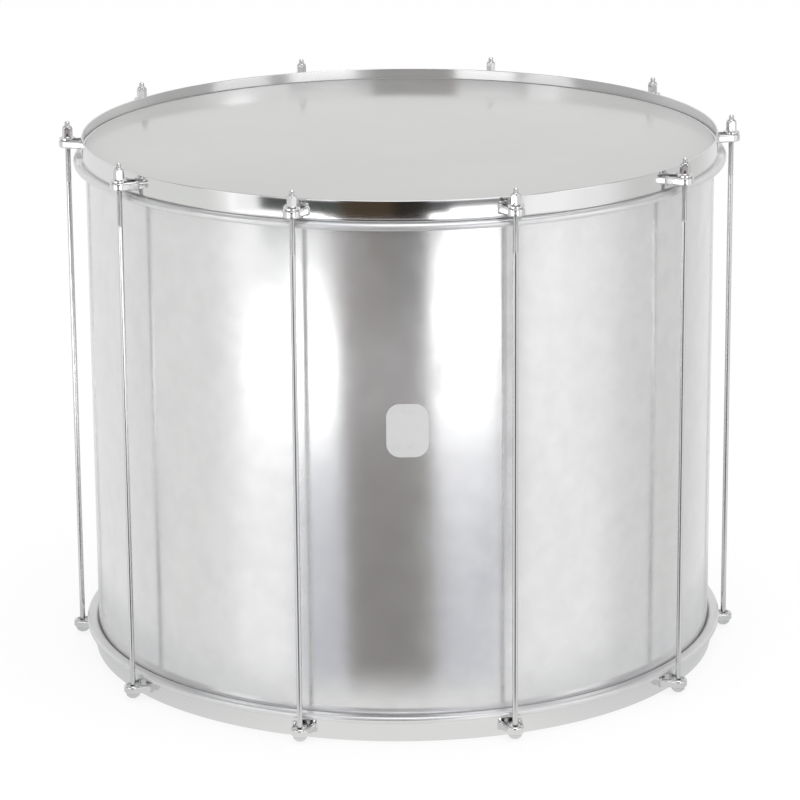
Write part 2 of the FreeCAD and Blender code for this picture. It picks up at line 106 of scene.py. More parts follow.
class Wiring:
    """A node tree that is being wired, with short forms for its nodes and links."""

    def __init__(self, tree: bpy.types.NodeTree) -> None:
        """Takes the tree and empties it.

        Args:
            tree: The node tree of a material, a world or a node group.
        """
        self.tree = tree
        tree.nodes.clear()

    def add(self, kind: str, settings: Optional[dict] = None, **inputs: Fed) -> bpy.types.Node:
        """Adds a node.

        Args:
            kind: The node's class name.
            settings: Properties of the node itself.
            inputs: Values or output sockets by input name, with _ for a space.

        Returns:
            The new node.
        """
        node = self.tree.nodes.new(kind)
        for name, value in (settings or {}).items():
            setattr(node, name, value)
        for name, value in inputs.items():
            self.feed(node.inputs[name.replace("_", " ")], value)
        return node

    def feed(self, socket: bpy.types.NodeSocket, value: Fed) -> None:
        """Links an output socket to an input, or sets the input's own value.

        Args:
            socket: The input.
            value: An output socket, a number or a colour.
        """
        if isinstance(value, bpy.types.NodeSocket):
            self.tree.links.new(value, socket)
        elif socket.type == "RGBA" and len(value) == 3:
            socket.default_value = (*value, 1.0)
        else:
            socket.default_value = value

    def math(self, operation: str, *values: Fed) -> bpy.types.NodeSocket:
        """Adds a Math node.

        Args:
            operation: What it does.
            values: The numbers or sockets that it works on.

        Returns:
            Its output.
        """
        node = self.tree.nodes.new("ShaderNodeMath")
        node.operation = operation
        for socket, value in zip(node.inputs, values):
            self.feed(socket, value)
        return node.outputs[0]

    def mix(self, factor: Fed, first: Fed, second: Fed) -> bpy.types.NodeSocket:
        """Mixes two colours.

        Args:
            factor: 0 for the first colour, 1 for the second; a number or a socket.
            first: A colour or socket.
            second: A colour or socket.

        Returns:
            The mixed colour.
        """
        node = self.tree.nodes.new("ShaderNodeMix")
        node.data_type = "RGBA"
        self.feed(node.inputs["Factor"], factor)
        self.feed(node.inputs[MIX_FIRST], first)
        self.feed(node.inputs[MIX_SECOND], second)
        return node.outputs[MIX_RESULT]

    def spread(self, value: bpy.types.NodeSocket, low: float, high: float, new_low: float,
               new_high: float, smooth: bool = False) -> bpy.types.NodeSocket:
        """Maps a value from one range onto another, clamped.

        Args:
            value: The socket to map.
            low: Start of the old range.
            high: End of the old range.
            new_low: What low becomes.
            new_high: What high becomes.
            smooth: True for a curve that eases in and out.

        Returns:
            The mapped value.
        """
        node = self.tree.nodes.new("ShaderNodeMapRange")
        node.interpolation_type = "SMOOTHSTEP" if smooth else "LINEAR"
        limits = {"From Min": low, "From Max": high, "To Min": new_low, "To Max": new_high}
        for name, number in limits.items():
            node.inputs[name].default_value = number
        self.feed(node.inputs["Value"], value)
        return node.outputs["Result"]

    def emboss(self, shader: bpy.types.Node, height: bpy.types.NodeSocket, strength: float,
               depth: float) -> None:
        """Gives a shader the relief of a height map through a bump node."""
        bump = self.add("ShaderNodeBump", Strength=strength, Distance=depth, Height=height)
        self.feed(shader.inputs["Normal"], bump.outputs[0])


@dataclass
class GroupSheet:
    """Shader groups that more than one material uses, each built once."""

    grain_detail: float = 4.0
    grain_roughness: float = 0.6
    mottle_share: float = 0.06
    mottle_detail: float = 3.0
    mottle_roughness: float = 0.55
    patch_detail: float = 5.0
    patch_roughness: float = 0.62
    patch_span: Span = (0.45, 0.75)
    scuff_ratio: float = 22.0
    scuff_detail: float = 2.0
    scuff_span: Span = (0.5, 0.8)
    scuff_share: float = 0.35
    built: dict[str, bpy.types.NodeTree] = field(default_factory=dict)

    def get(self, name: str, inputs: dict[str, float], outputs: dict[str, str],
            wire: Callable[[Wiring, bpy.types.Node, bpy.types.Node], None]) -> bpy.types.NodeTree:
        """Returns the named group, building it the first time.

        Args:
            name: The group's name.
            inputs: Input names with their default numbers.
            outputs: Output names with their socket types.
            wire: Fills the group, given its wiring, input node and output node.

        Returns:
            The node group.
        """
        if name in self.built:
            return self.built[name]
        group = bpy.data.node_groups.new(name, "ShaderNodeTree")
        for label, default in inputs.items():
            socket = group.interface.new_socket(name=label, in_out="INPUT",
                                                socket_type="NodeSocketFloat")
            socket.default_value = default
        for label, kind in outputs.items():
            group.interface.new_socket(name=label, in_out="OUTPUT", socket_type=kind)
        wiring = Wiring(group)
        wire(wiring, wiring.add("NodeGroupInput"), wiring.add("NodeGroupOutput"))
        self.built[name] = group
        return group

    def sheet_grain(self) -> bpy.types.NodeTree:
        """Fine grain of rolled or drawn metal, stretched along the piece's length."""
        return self.get(
            "sheet_grain",
            {"Scale": 900.0, "Stretch": 1.0},
            {"Height": "NodeSocketFloat", "Mottle": "NodeSocketFloat"},
            self.wire_sheet_grain,
        )

    def wire_sheet_grain(self, wiring: Wiring, given: bpy.types.Node, out: bpy.types.Node) -> None:
        """Wires noise that is drawn out along Z by the Stretch input.

        Args:
            wiring: The group's tree.
            given: Its input node.
            out: Its output node.
        """
        place = wiring.add("ShaderNodeTexCoord").outputs["Object"]
        parts = wiring.add("ShaderNodeSeparateXYZ", Vector=place)
        drawn = wiring.math("DIVIDE", parts.outputs["Z"], given.outputs["Stretch"])
        vector = wiring.add("ShaderNodeCombineXYZ", X=parts.outputs["X"], Y=parts.outputs["Y"], Z=drawn)
        fine = wiring.add("ShaderNodeTexNoise", Vector=vector.outputs[0], Scale=given.outputs["Scale"],
                          Detail=self.grain_detail, Roughness=self.grain_roughness)
        broad = wiring.math("MULTIPLY", given.outputs["Scale"], self.mottle_share)
        cloud = wiring.add("ShaderNodeTexNoise", Vector=vector.outputs[0], Scale=broad,
                           Detail=self.mottle_detail, Roughness=self.mottle_roughness)
        wiring.feed(out.inputs["Height"], fine.outputs[0])
        wiring.feed(out.inputs["Mottle"], cloud.outputs[0])

    def handling(self) -> bpy.types.NodeTree:
        """Smudges and fine scuffs that dull a polished surface in patches."""
        return self.get(
            "handling",
            {"Scale": 18.0, "Clean": 0.05, "Dull": 0.16},
            {"Roughness": "NodeSocketFloat", "Mask": "NodeSocketFloat"},
            self.wire_handling,
        )

    def wire_handling(self, wiring: Wiring, given: bpy.types.Node, out: bpy.types.Node) -> None:
        """Wires a patchy mask that blends the Clean roughness into the Dull one.

        Args:
            wiring: The group's tree.
            given: Its input node.
            out: Its output node.
        """
        place = wiring.add("ShaderNodeTexCoord").outputs["Object"]
        patches = wiring.add("ShaderNodeTexNoise", Vector=place, Scale=given.outputs["Scale"],
                             Detail=self.patch_detail, Roughness=self.patch_roughness)
        fine_scale = wiring.math("MULTIPLY", given.outputs["Scale"], self.scuff_ratio)
        scuffs = wiring.add("ShaderNodeTexNoise", Vector=place, Scale=fine_scale, Detail=self.scuff_detail)
        broad = wiring.spread(patches.outputs[0], *self.patch_span, 0.0, 1.0, smooth=True)
        narrow = wiring.spread(scuffs.outputs[0], *self.scuff_span, 0.0, self.scuff_share)
        mask = wiring.math("MINIMUM", wiring.math("ADD", broad, narrow), 1.0)
        span = wiring.math("SUBTRACT", given.outputs["Dull"], given.outputs["Clean"])
        roughness = wiring.math("MULTIPLY_ADD", mask, span, given.outputs["Clean"])
        wiring.feed(out.inputs["Roughness"], roughness)
        wiring.feed(out.inputs["Mask"], mask)


GROUPS = GroupSheet()


def add_grain(wiring: Wiring, scale: float, stretch: float = 1.0) -> bpy.types.Node:
    """Places the sheet_grain group in a material's tree."""
    group = {"node_tree": GROUPS.sheet_grain()}
    return wiring.add("ShaderNodeGroup", group, Scale=scale, Stretch=stretch)


def add_handling(wiring: Wiring, scale: float, clean: float, dull: float) -> bpy.types.Node:
    """Places the handling group in a material's tree."""
    group = {"node_tree": GROUPS.handling()}
    return wiring.add("ShaderNodeGroup", group, Scale=scale, Clean=clean, Dull=dull)


def new_material(name: str) -> tuple[Wiring, bpy.types.Node]:
    """Makes a material that holds one Principled shader.

    Args:
        name: The material's name.

    Returns:
        Its wiring and the shader node.
    """
    material = bpy.data.materials.new(name)
    material.use_nodes = True
    wiring = Wiring(material.node_tree)
    shader = wiring.add("ShaderNodeBsdfPrincipled")
    wiring.add("ShaderNodeOutputMaterial", Surface=shader.outputs[0])
    return wiring, shader


@dataclass(frozen=True)
class BrushedSheet:
    """Bare aluminium with a fine rolled grain and a soft haze over its mirror."""

    name: str
    light: Colour = (0.82, 0.82, 0.825)
    dark: Colour = (0.76, 0.76, 0.765)
    sheen: float = 0.17
    dull: float = 0.25
    mirror_share: float = 0.78
    ior: float = 1.45
    grain_scale: float = 850.0
    wear_scale: float = 9.0
    tone_span: Span = (0.35, 0.65)
    tone_share: float = 0.6
    speck_span: Span = (0.3, 0.7)
    speck_share: float = 0.5
    relief: float = 0.03
    relief_depth: float = 0.4 * MM

    def build(self) -> bpy.types.Material:
        """Wires the material.

        Returns:
            The material.
        """
        wiring, shader = new_material(self.name)
        grain = add_grain(wiring, self.grain_scale)
        worn = add_handling(wiring, self.wear_scale, self.sheen, self.dull)
        tone = wiring.spread(grain.outputs["Mottle"], *self.tone_span, 0.0, 1.0)
        speck = wiring.spread(grain.outputs["Height"], *self.speck_span, 0.0, self.speck_share)
        shade = wiring.math("MINIMUM", wiring.math("MULTIPLY_ADD", tone, self.tone_share, speck), 1.0)
        wiring.feed(shader.inputs["Base Color"], wiring.mix(shade, self.dark, self.light))
        shader.inputs["Metallic"].default_value = self.mirror_share
        shader.inputs["IOR"].default_value = self.ior
        wiring.feed(shader.inputs["Roughness"], worn.outputs["Roughness"])
        wiring.emboss(shader, grain.outputs["Height"], self.relief, self.relief_depth)
        return bpy.data.materials[self.name]


@dataclass(frozen=True)
class BrightPlating:
    """Chrome or zinc plating over steel, nearly a mirror, with smudges and a faint waviness."""

    name: str
    colour: Colour = (0.80, 0.81, 0.82)
    smudged: Colour = (0.72, 0.73, 0.74)
    clean: float = 0.04
    dull: float = 0.12
    smudge_scale: float = 18.0
    wave_scale: float = 30.0
    wave: float = 0.04
    wave_depth: float = 2.0 * MM
    stretch: float = 1.0

    def build(self) -> bpy.types.Material:
        """Wires the material.

        Returns:
            The material.
        """
        wiring, shader = new_material(self.name)
        worn = add_handling(wiring, self.smudge_scale, self.clean, self.dull)
        grain = add_grain(wiring, self.wave_scale, self.stretch)
        base = wiring.mix(worn.outputs["Mask"], self.colour, self.smudged)
        wiring.feed(shader.inputs["Base Color"], base)
        shader.inputs["Metallic"].default_value = 1.0
        wiring.feed(shader.inputs["Roughness"], worn.outputs["Roughness"])
        wiring.emboss(shader, grain.outputs["Height"], self.wave, self.wave_depth)
        return bpy.data.materials[self.name]


@dataclass(frozen=True)
class MilkyFilm:
    """The heads' milky plastic: glossy, faintly clouded, with a very fine orange peel."""

    name: str
    light: Colour = (0.47, 0.47, 0.462)
    dark: Colour = (0.445, 0.445, 0.44)
    gloss: float = 0.11
    haze: float = 0.2
    haze_scale: float = 6.0
    ior: float = 1.62
    cloud_scale: float = 7.0
    cloud_detail: float = 4.0
    cloud_roughness: float = 0.5
    cloud_span: Span = (0.35, 0.65)
    peel_scale: float = 420.0
    peel_detail: float = 2.0
    peel: float = 0.02
    peel_depth: float = 0.5 * MM

    def build(self) -> bpy.types.Material:
        """Wires the material.

        Returns:
            The material.
        """
        wiring, shader = new_material(self.name)
        place = wiring.add("ShaderNodeTexCoord").outputs["Object"]
        cloud = wiring.add("ShaderNodeTexNoise", Vector=place, Scale=self.cloud_scale,
                           Detail=self.cloud_detail, Roughness=self.cloud_roughness)
        peel = wiring.add("ShaderNodeTexNoise", Vector=place, Scale=self.peel_scale,
                          Detail=self.peel_detail)
        worn = add_handling(wiring, self.haze_scale, self.gloss, self.haze)
        tone = wiring.spread(cloud.outputs[0], *self.cloud_span, 0.0, 1.0)
        wiring.feed(shader.inputs["Base Color"], wiring.mix(tone, self.dark, self.light))
        wiring.feed(shader.inputs["Roughness"], worn.outputs["Roughness"])
        shader.inputs["IOR"].default_value = self.ior
        wiring.emboss(shader, peel.outputs[0], self.peel, self.peel_depth)
        return bpy.data.materials[self.name]


@dataclass(frozen=True)
class BadgeSkin:
    """The bare badge plate: pale lacquered sheet with a few rubbed patches."""

    name: str
    light: Colour = (0.68, 0.68, 0.68)
    dark: Colour = (0.635, 0.635, 0.64)
    gloss: float = 0.28
    rubbed: float = 0.42
    rub_scale: float = 60.0
    grain_scale: float = 1500.0
    relief: float = 0.04
    relief_depth: float = 0.2 * MM

    def build(self) -> bpy.types.Material:
        """Wires the material.

        Returns:
            The material.
        """
        wiring, shader = new_material(self.name)
        worn = add_handling(wiring, self.rub_scale, self.gloss, self.rubbed)
        grain = add_grain(wiring, self.grain_scale)
        wiring.feed(shader.inputs["Base Color"], wiring.mix(worn.outputs["Mask"], self.light, self.dark))
        wiring.feed(shader.inputs["Roughness"], worn.outputs["Roughness"])
        wiring.emboss(shader, grain.outputs["Height"], self.relief, self.relief_depth)
        return bpy.data.materials[self.name]


# Mesh building

def rounded(corners: Sequence[tuple[float, float, float]], steps: int = 6) -> list[Point]:
    """Rounds the corners of a closed outline.

    Args:
        corners: Radius, height and corner radius of each corner; 0 keeps it sharp.
        steps: Segments in each rounded corner.

    Returns:
        The outline's points as pairs of radius and height.
    """
    points: list[Point] = []
    count = len(corners)
    for index, (across, up, size) in enumerate(corners):
        here = Vector((across, up))
        if size == 0.0:
            points.append((across, up))
            continue
        before = (Vector(corners[index - 1][:2]) - here).normalized()
        after = (Vector(corners[(index + 1) % count][:2]) - here).normalized()
        half = before.angle(after) / 2.0
        middle = here + (before + after).normalized() * (size / math.sin(half))
        reach = size / math.tan(half)
        first = here + before * reach - middle
        last = here + after * reach - middle
        for step in range(steps + 1):
            points.append(tuple(middle + first.slerp(last, step / steps).normalized() * size))
    return points


def finish_mesh(name: str, bm: bmesh.types.BMesh, sharp_degrees: float = 30.0) -> bpy.types.Object:
    """Turns a bmesh into a smooth-shaded object, with its sharp edges kept crisp.

    Args:
        name: The object's name.
        bm: The mesh; it is freed.
        sharp_degrees: Edges that turn by more than this are shaded sharp.

    Returns:
        The object, linked to the scene.
    """
    bmesh.ops.recalc_face_normals(bm, faces=bm.faces)
    for face in bm.faces:
        face.smooth = True
    for edge in bm.edges:
        if len(edge.link_faces) == 2 and edge.calc_face_angle() > math.radians(sharp_degrees):
            edge.smooth = False
    mesh = bpy.data.meshes.new(name)
    bm.to_mesh(mesh)
    bm.free()
    thing = bpy.data.objects.new(name, mesh)
    bpy.context.scene.collection.objects.link(thing)
    return thing


def lathe(name: str, outline: Sequence[Point], segments: int, gap: float = 0.0,
          gap_at: float = 0.0) -> bpy.types.Object:
    """Turns a closed outline about the Z axis.

    Args:
        name: The object's name.
        outline: Pairs of radius and height; two neighbours may lie on the axis.
        segments: Columns in a full turn.
        gap: Angle in radians that is left open, 0 for a full turn.
        gap_at: Angle of the gap's middle.

    Returns:
        The object.
    """
    bm = bmesh.new()
    closed = gap == 0.0
    columns = segments if closed else segments + 1
    span = (TAU - gap) / segments
    rings = []
    for radius, height in outline:
        if radius < ON_AXIS:
            rings.append([bm.verts.new((0.0, 0.0, height))] * columns)
            continue
        angles = [gap_at + gap / 2.0 + span * column for column in range(columns)]
        rings.append([bm.verts.new((radius * math.cos(a), radius * math.sin(a), height))
                      for a in angles])
    for low, high in zip(rings, rings[1:] + rings[:1]):
        for column in range(segments):
            following = (column + 1) % columns
            corners = [low[column], low[following], high[following], high[column]]
            distinct = list(dict.fromkeys(corners))
            if len(distinct) > 2:
                bm.faces.new(distinct)
    if not closed:
        bm.faces.new([ring[0] for ring in rings])
        bm.faces.new([ring[-1] for ring in rings])
    return finish_mesh(name, bm)


def turned_field(name: str, heights: Sequence[float], radius_at: Callable[[float, float], float],
                 columns: int, sharp_degrees: float = 24.0) -> bpy.types.Object:
    """A solid about Z whose radius depends on the angle and the height.

    Args:
        name: The object's name.
        heights: The rows' heights, upwards.
        radius_at: Radius at an angle in radians and a height.
        columns: Points in each row.
        sharp_degrees: Edges that turn by more than this are shaded sharp.

    Returns:
        The object, closed at both ends.
    """
    bm = bmesh.new()
    rows = []
    for height in heights:
        row = []
        for column in range(columns):
            angle = TAU * column / columns
            radius = radius_at(angle, height)
            row.append(bm.verts.new((radius * math.cos(angle), radius * math.sin(angle), height)))
        rows.append(row)
    for low, high in zip(rows, rows[1:]):
        for column in range(columns):
            following = (column + 1) % columns
            bm.faces.new((low[column], low[following], high[following], high[column]))
    bm.faces.new(rows[0])
    bm.faces.new(rows[-1])
    return finish_mesh(name, bm, sharp_degrees)


def add_tube(bm: bmesh.types.BMesh, path: Sequence[Vector], outward: Sequence[Vector],
             radii: Sequence[float], sides: int = 8) -> None:
    """Adds a closed ring of tube to a bmesh.

    Args:
        bm: The mesh that takes the tube.
        path: The ring's centre points.
        outward: A direction across the path at each point.
        radii: The tube's radius at each point.
        sides: Points round the tube.
    """
    rings = []
    count = len(path)
    for index, (centre, across, radius) in enumerate(zip(path, outward, radii)):
        along = (path[(index + 1) % count] - path[index - 1]).normalized()
        side = along.cross(across).normalized()
        up = side.cross(along)
        ring = []
        for step in range(sides):
            angle = TAU * step / sides
            ring.append(bm.verts.new(centre + (side * math.cos(angle) + up * math.sin(angle)) * radius))
        rings.append(ring)
    for ring, following in zip(rings, rings[1:] + rings[:1]):
        for step in range(sides):
            after = (step + 1) % sides
            bm.faces.new((ring[step], ring[after], following[after], following[step]))


def stand(name: str, mesh: bpy.types.Mesh, place: Sequence[float], turn: float) -> bpy.types.Object:
    """Stands one more copy of a mesh in the scene.

    Args:
        name: The copy's name.
        mesh: The mesh that the copies share.
        place: Where its origin stands.
        turn: Its angle about Z in radians.

    Returns:
        The copy.
    """
    thing = bpy.data.objects.new(name, mesh)
    bpy.context.scene.collection.objects.link(thing)
    thing.location = place
    thing.rotation_euler = (0.0, 0.0, turn)
    return thing


def take_mesh(pattern: bpy.types.Object) -> bpy.types.Mesh:
    """Takes the mesh of an object that is only a pattern, and removes the object."""
    mesh = pattern.data
    bpy.data.objects.remove(pattern)
    return mesh


def dress(thing: bpy.types.Object, material: bpy.types.Material) -> None:
    """Gives an object one material, in place of those it has.

    Args:
        thing: The object.
        material: The finish.
    """
    if thing.material_slots:
        for place in thing.material_slots:
            place.material = material
    else:
        thing.data.materials.append(material)


def dress_node(name: str, material: bpy.types.Material) -> None:
    """Gives a CAD node its finish and reports it."""
    dress(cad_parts[name], material)
    log.info("dressed %s in %s", name, material.name)


def settle(thing: bpy.types.Object, body: str, material: bpy.types.Material,
           stands_for: Iterable[str] = ()) -> bpy.types.Object:
    """Dresses a new piece and ties it to its body and the nodes that it stands for.

    Args:
        thing: The piece, in place.
        body: The body that it moves with.
        material: The finish.
        stands_for: CAD nodes that it replaces.

    Returns:
        The piece.
    """
    dress(thing, material)
    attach(thing, body)
    nodes = list(stands_for)
    if nodes:
        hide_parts(*nodes)
    log.info("made %s on %s, for %s", thing.name, body, ", ".join(nodes) or "nothing else")
    return thing


def numbered(kind: str, index: int) -> str:
    """The name of the piece of this kind at a lug, such as tension_rod_01."""
    return f"{kind}_{index + 1:02d}"


def lug_angle(index: int) -> float:
    """The lug's angle from +X, read from where its rod stands.

    Args:
        index: The lug's number, from 0.

    Returns:
        The angle in radians.
    """
    low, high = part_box(numbered("tension_rod", index))
    middle = (low + high) / 2.0
    return math.atan2(middle.y, middle.x)


def turned_over(outline: Sequence[Point], total: float) -> list[Point]:
    """The outline of an upper piece, turned over for the lower end of the drum."""
    return [(radius, total - height) for radius, height in outline]


# The drum's parts

@dataclass
class Shell:
    """The rolled shell with its curled edges, seam strip, rivets and badge plate."""

    wall: float = 1.2 * MM
    bead_width: float = 6.0 * MM
    bead_depth: float = 9.0 * MM
    bead_round: float = 2.4 * MM
    segments: int = 480
    joint_gap: float = 0.35 * MM
    joint_angle: float = math.pi / 2.0

    def outline(self) -> list[Point]:
        """The sheet's section: an upright wall with both edges curled in and back.

        Returns:
            The section's points.
        """
        low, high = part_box("shell")
        outer = high.x
        inner = outer - self.wall
        lip = outer - self.bead_width
        lip_outer = lip + self.wall
        outside = self.bead_round
        inside = outside - self.wall
        return rounded([
            (outer, low.z, outside), (outer, high.z, outside), (lip, high.z, outside),
            (lip, high.z - self.bead_depth, 0.0), (lip_outer, high.z - self.bead_depth, 0.0),
            (lip_outer, high.z - self.wall, inside), (inner, high.z - self.wall, inside),
            (inner, low.z + self.wall, inside), (lip_outer, low.z + self.wall, inside),
            (lip_outer, low.z + self.bead_depth, 0.0), (lip, low.z + self.bead_depth, 0.0),
            (lip, low.z, outside),
        ])

    def build(self) -> None:
        """Makes the shell with its open joint at the back, and dresses the nodes on it."""
        sheet = BrushedSheet("shell_sheet").build()
        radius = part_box("shell")[1].x
        skin = lathe("shell_sheet", self.outline(), self.segments, self.joint_gap / radius,
                     self.joint_angle)
        settle(skin, "drum", sheet, ["shell"])
        dress_node("seam_strip", sheet)
        dress_node("seam_rivets", BrushedSheet("rivet_sheet", sheen=0.28, dull=0.4, relief=0.06).build())
        dress_node("badge_plate", BadgeSkin("badge_skin").build())


@dataclass
class Head:
    """A milky film with its collar, and the solid flesh hoop that holds its edge."""

    end: End
    material: bpy.types.Material
    hoop_material: bpy.types.Material
    thick: float = 0.35 * MM
    bend: float = 1.6 * MM
    hoop_round: float = 2.6 * MM
    hoop_crown: float = 3.3 * MM
    hoop_sink: float = 2.8 * MM
    hoop_steps: int = 8
    segments: int = 480

    def hoop_outline(self) -> list[Point]:
        """The flesh hoop's section at this end, with its outer edge rounded most under the band.

        Returns:
            The section's points.
        """
        low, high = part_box("top_flesh_hoop")
        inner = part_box("top_film")[1].x
        upper = high.z - self.hoop_sink
        section = rounded([
            (inner, low.z, self.hoop_round), (high.x, low.z, self.hoop_round),
            (high.x, upper, self.hoop_crown), (inner, upper, 0.0),
        ], self.hoop_steps)
        return section if self.end is End.TOP else turned_over(section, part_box("top_counterhoop")[1].z)

    def outline(self) -> list[Point]:
        """The film's section at this end: a disc that turns down into a short collar.

        Returns:
            The section's points.
        """
        low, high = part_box(f"{self.end.prefix}_film")
        outer = high.x
        inner = outer - self.thick
        face, inside, edge = high.z, high.z - self.thick, low.z
        if self.end is End.BOTTOM:
            face, inside, edge = low.z, low.z + self.thick, high.z
        return rounded([
            (0.0, inside, 0.0), (inner, inside, self.bend - self.thick), (inner, edge, 0.0),
            (outer, edge, 0.0), (outer, face, self.bend), (0.0, face, 0.0),
        ])

    def build(self) -> None:
        """Makes the film and its flesh hoop."""
        prefix = self.end.prefix
        film = lathe(f"{prefix}_head", self.outline(), self.segments)
        settle(film, self.end.body, self.material, [f"{prefix}_film"])
        hoop = lathe(f"{prefix}_head_hoop", self.hoop_outline(), self.segments)
        settle(hoop, self.end.body, self.hoop_material, [f"{prefix}_flesh_hoop"])


@dataclass
class Counterhoop:
    """A chromed steel band, its face upright and leaning in at the rim, with ten welded ears."""

    end: End
    material: bpy.types.Material
    ear_material: bpy.types.Material
    weld_material: bpy.types.Material
    sheet: float = 2.0 * MM
    lip: float = 0.7 * MM
    foot_lip: float = 1.2 * MM
    sink: float = 2.8 * MM
    crown_radius: float = 130.0 * MM
    crown_depth: float = 17.6 * MM
    seat_gap: float = 0.15 * MM
    seat_depth: float = 1.1 * MM
    seat_slope: float = 0.5 * MM
    rim_lean: float = 0.5 * MM
    face_rows: int = 14
    segments: int = 480
    ear_depth: float = 6.3 * MM
    ear_tall: float = 7.1 * MM
    ear_strap: float = 3.2 * MM
    ear_spread: float = 10.6 * MM
    bead: float = 0.75 * MM
    bead_proud: float = 0.2
    bead_span: Span = (0.86, 1.14)
    bead_square: float = 0.45
    bead_sharp: float = 60.0
    bead_points: int = 44

    def outline(self) -> list[Point]:
        """The band's section at this end; its outer face leans in towards the rim.

        Returns:
            The section's points.
        """
        low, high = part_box("top_counterhoop")
        rim, foot, band = high.z, low.z - self.sink, high.x
        inner = band - self.sheet
        widest = rim - self.crown_depth
        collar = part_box("top_film")[1]
        seat, seat_high = collar.x + self.seat_gap, collar.z - self.seat_depth

        def face(height: float) -> float:
            """Radius of the outer face at this height."""
            return band - max(0.0, height - widest) ** 2 / (2.0 * self.crown_radius)

        rows = [rim - self.lip - (rim - foot - self.lip - self.foot_lip) * row / self.face_rows
                for row in range(self.face_rows + 1)]
        corners = [
            (face(rim), rim, self.lip), (face(foot), foot, self.foot_lip),
            (seat, foot, self.seat_gap), (seat, seat_high, self.seat_gap),
            (inner, seat_high + self.seat_slope, self.seat_gap), (inner - self.rim_lean, rim, self.lip),
        ]
        lips = rounded(corners)
        corner = len(lips) // len(corners)
        section = lips[:corner] + [(face(height), height) for height in rows[1:-1]] + lips[corner:]
        return section if self.end is End.TOP else turned_over(section, rim)

    def weld(self, index: int, rng: random.Random) -> bpy.types.Object:
        """Makes the fillet of weld round both feet of an ear.

        Args:
            index: The lug's number, from 0.
            rng: Gives the weld its small unevenness.

        Returns:
            The weld bead, as one piece.
        """
        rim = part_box("top_counterhoop")[1].z
        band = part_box("top_counterhoop")[1].x
        level = rim - self.ear_depth - self.ear_tall / 2.0
        if self.end is End.BOTTOM:
            level = rim - level
        turn = Matrix.Rotation(lug_angle(index), 3, "Z")
        bm = bmesh.new()
        for side in (-1.0, 1.0):
            across = side * (self.ear_spread - self.ear_strap / 2.0)
            path, outward, radii = [], [], []
            for step in range(self.bead_points):
                angle = TAU * step / self.bead_points
                wide = across + self.squircle(math.cos(angle)) * (self.ear_strap / 2.0)
                tall = level + self.squircle(math.sin(angle)) * (self.ear_tall / 2.0)
                reach = math.sqrt(band * band - wide * wide)
                path.append(turn @ Vector((reach + self.bead * self.bead_proud, wide, tall)))
                outward.append(turn @ Vector((reach, wide, 0.0)).normalized())
                radii.append(self.bead * rng.uniform(*self.bead_span))
            add_tube(bm, path, outward, radii)
        return finish_mesh(f"{self.end.prefix}_{numbered('weld', index)}", bm, self.bead_sharp)

    def squircle(self, value: float) -> float:
        """Pushes a cosine or sine out, so that a circle becomes a rounded rectangle."""
        return math.copysign(abs(value) ** self.bead_square, value)

    def build(self, rng: random.Random) -> None:
        """Makes the hoop and its welds and dresses its ears.

        Args:
            rng: Gives the welds their small unevenness.
        """
        prefix = self.end.prefix
        hoop = lathe(f"{prefix}_hoop", self.outline(), self.segments)
        settle(hoop, self.end.body, self.material, [f"{prefix}_counterhoop"])
        for index in range(LUG_COUNT):
            dress_node(numbered(f"{prefix}_ear", index), self.ear_material)
            settle(self.weld(index, rng), self.end.body, self.weld_material)


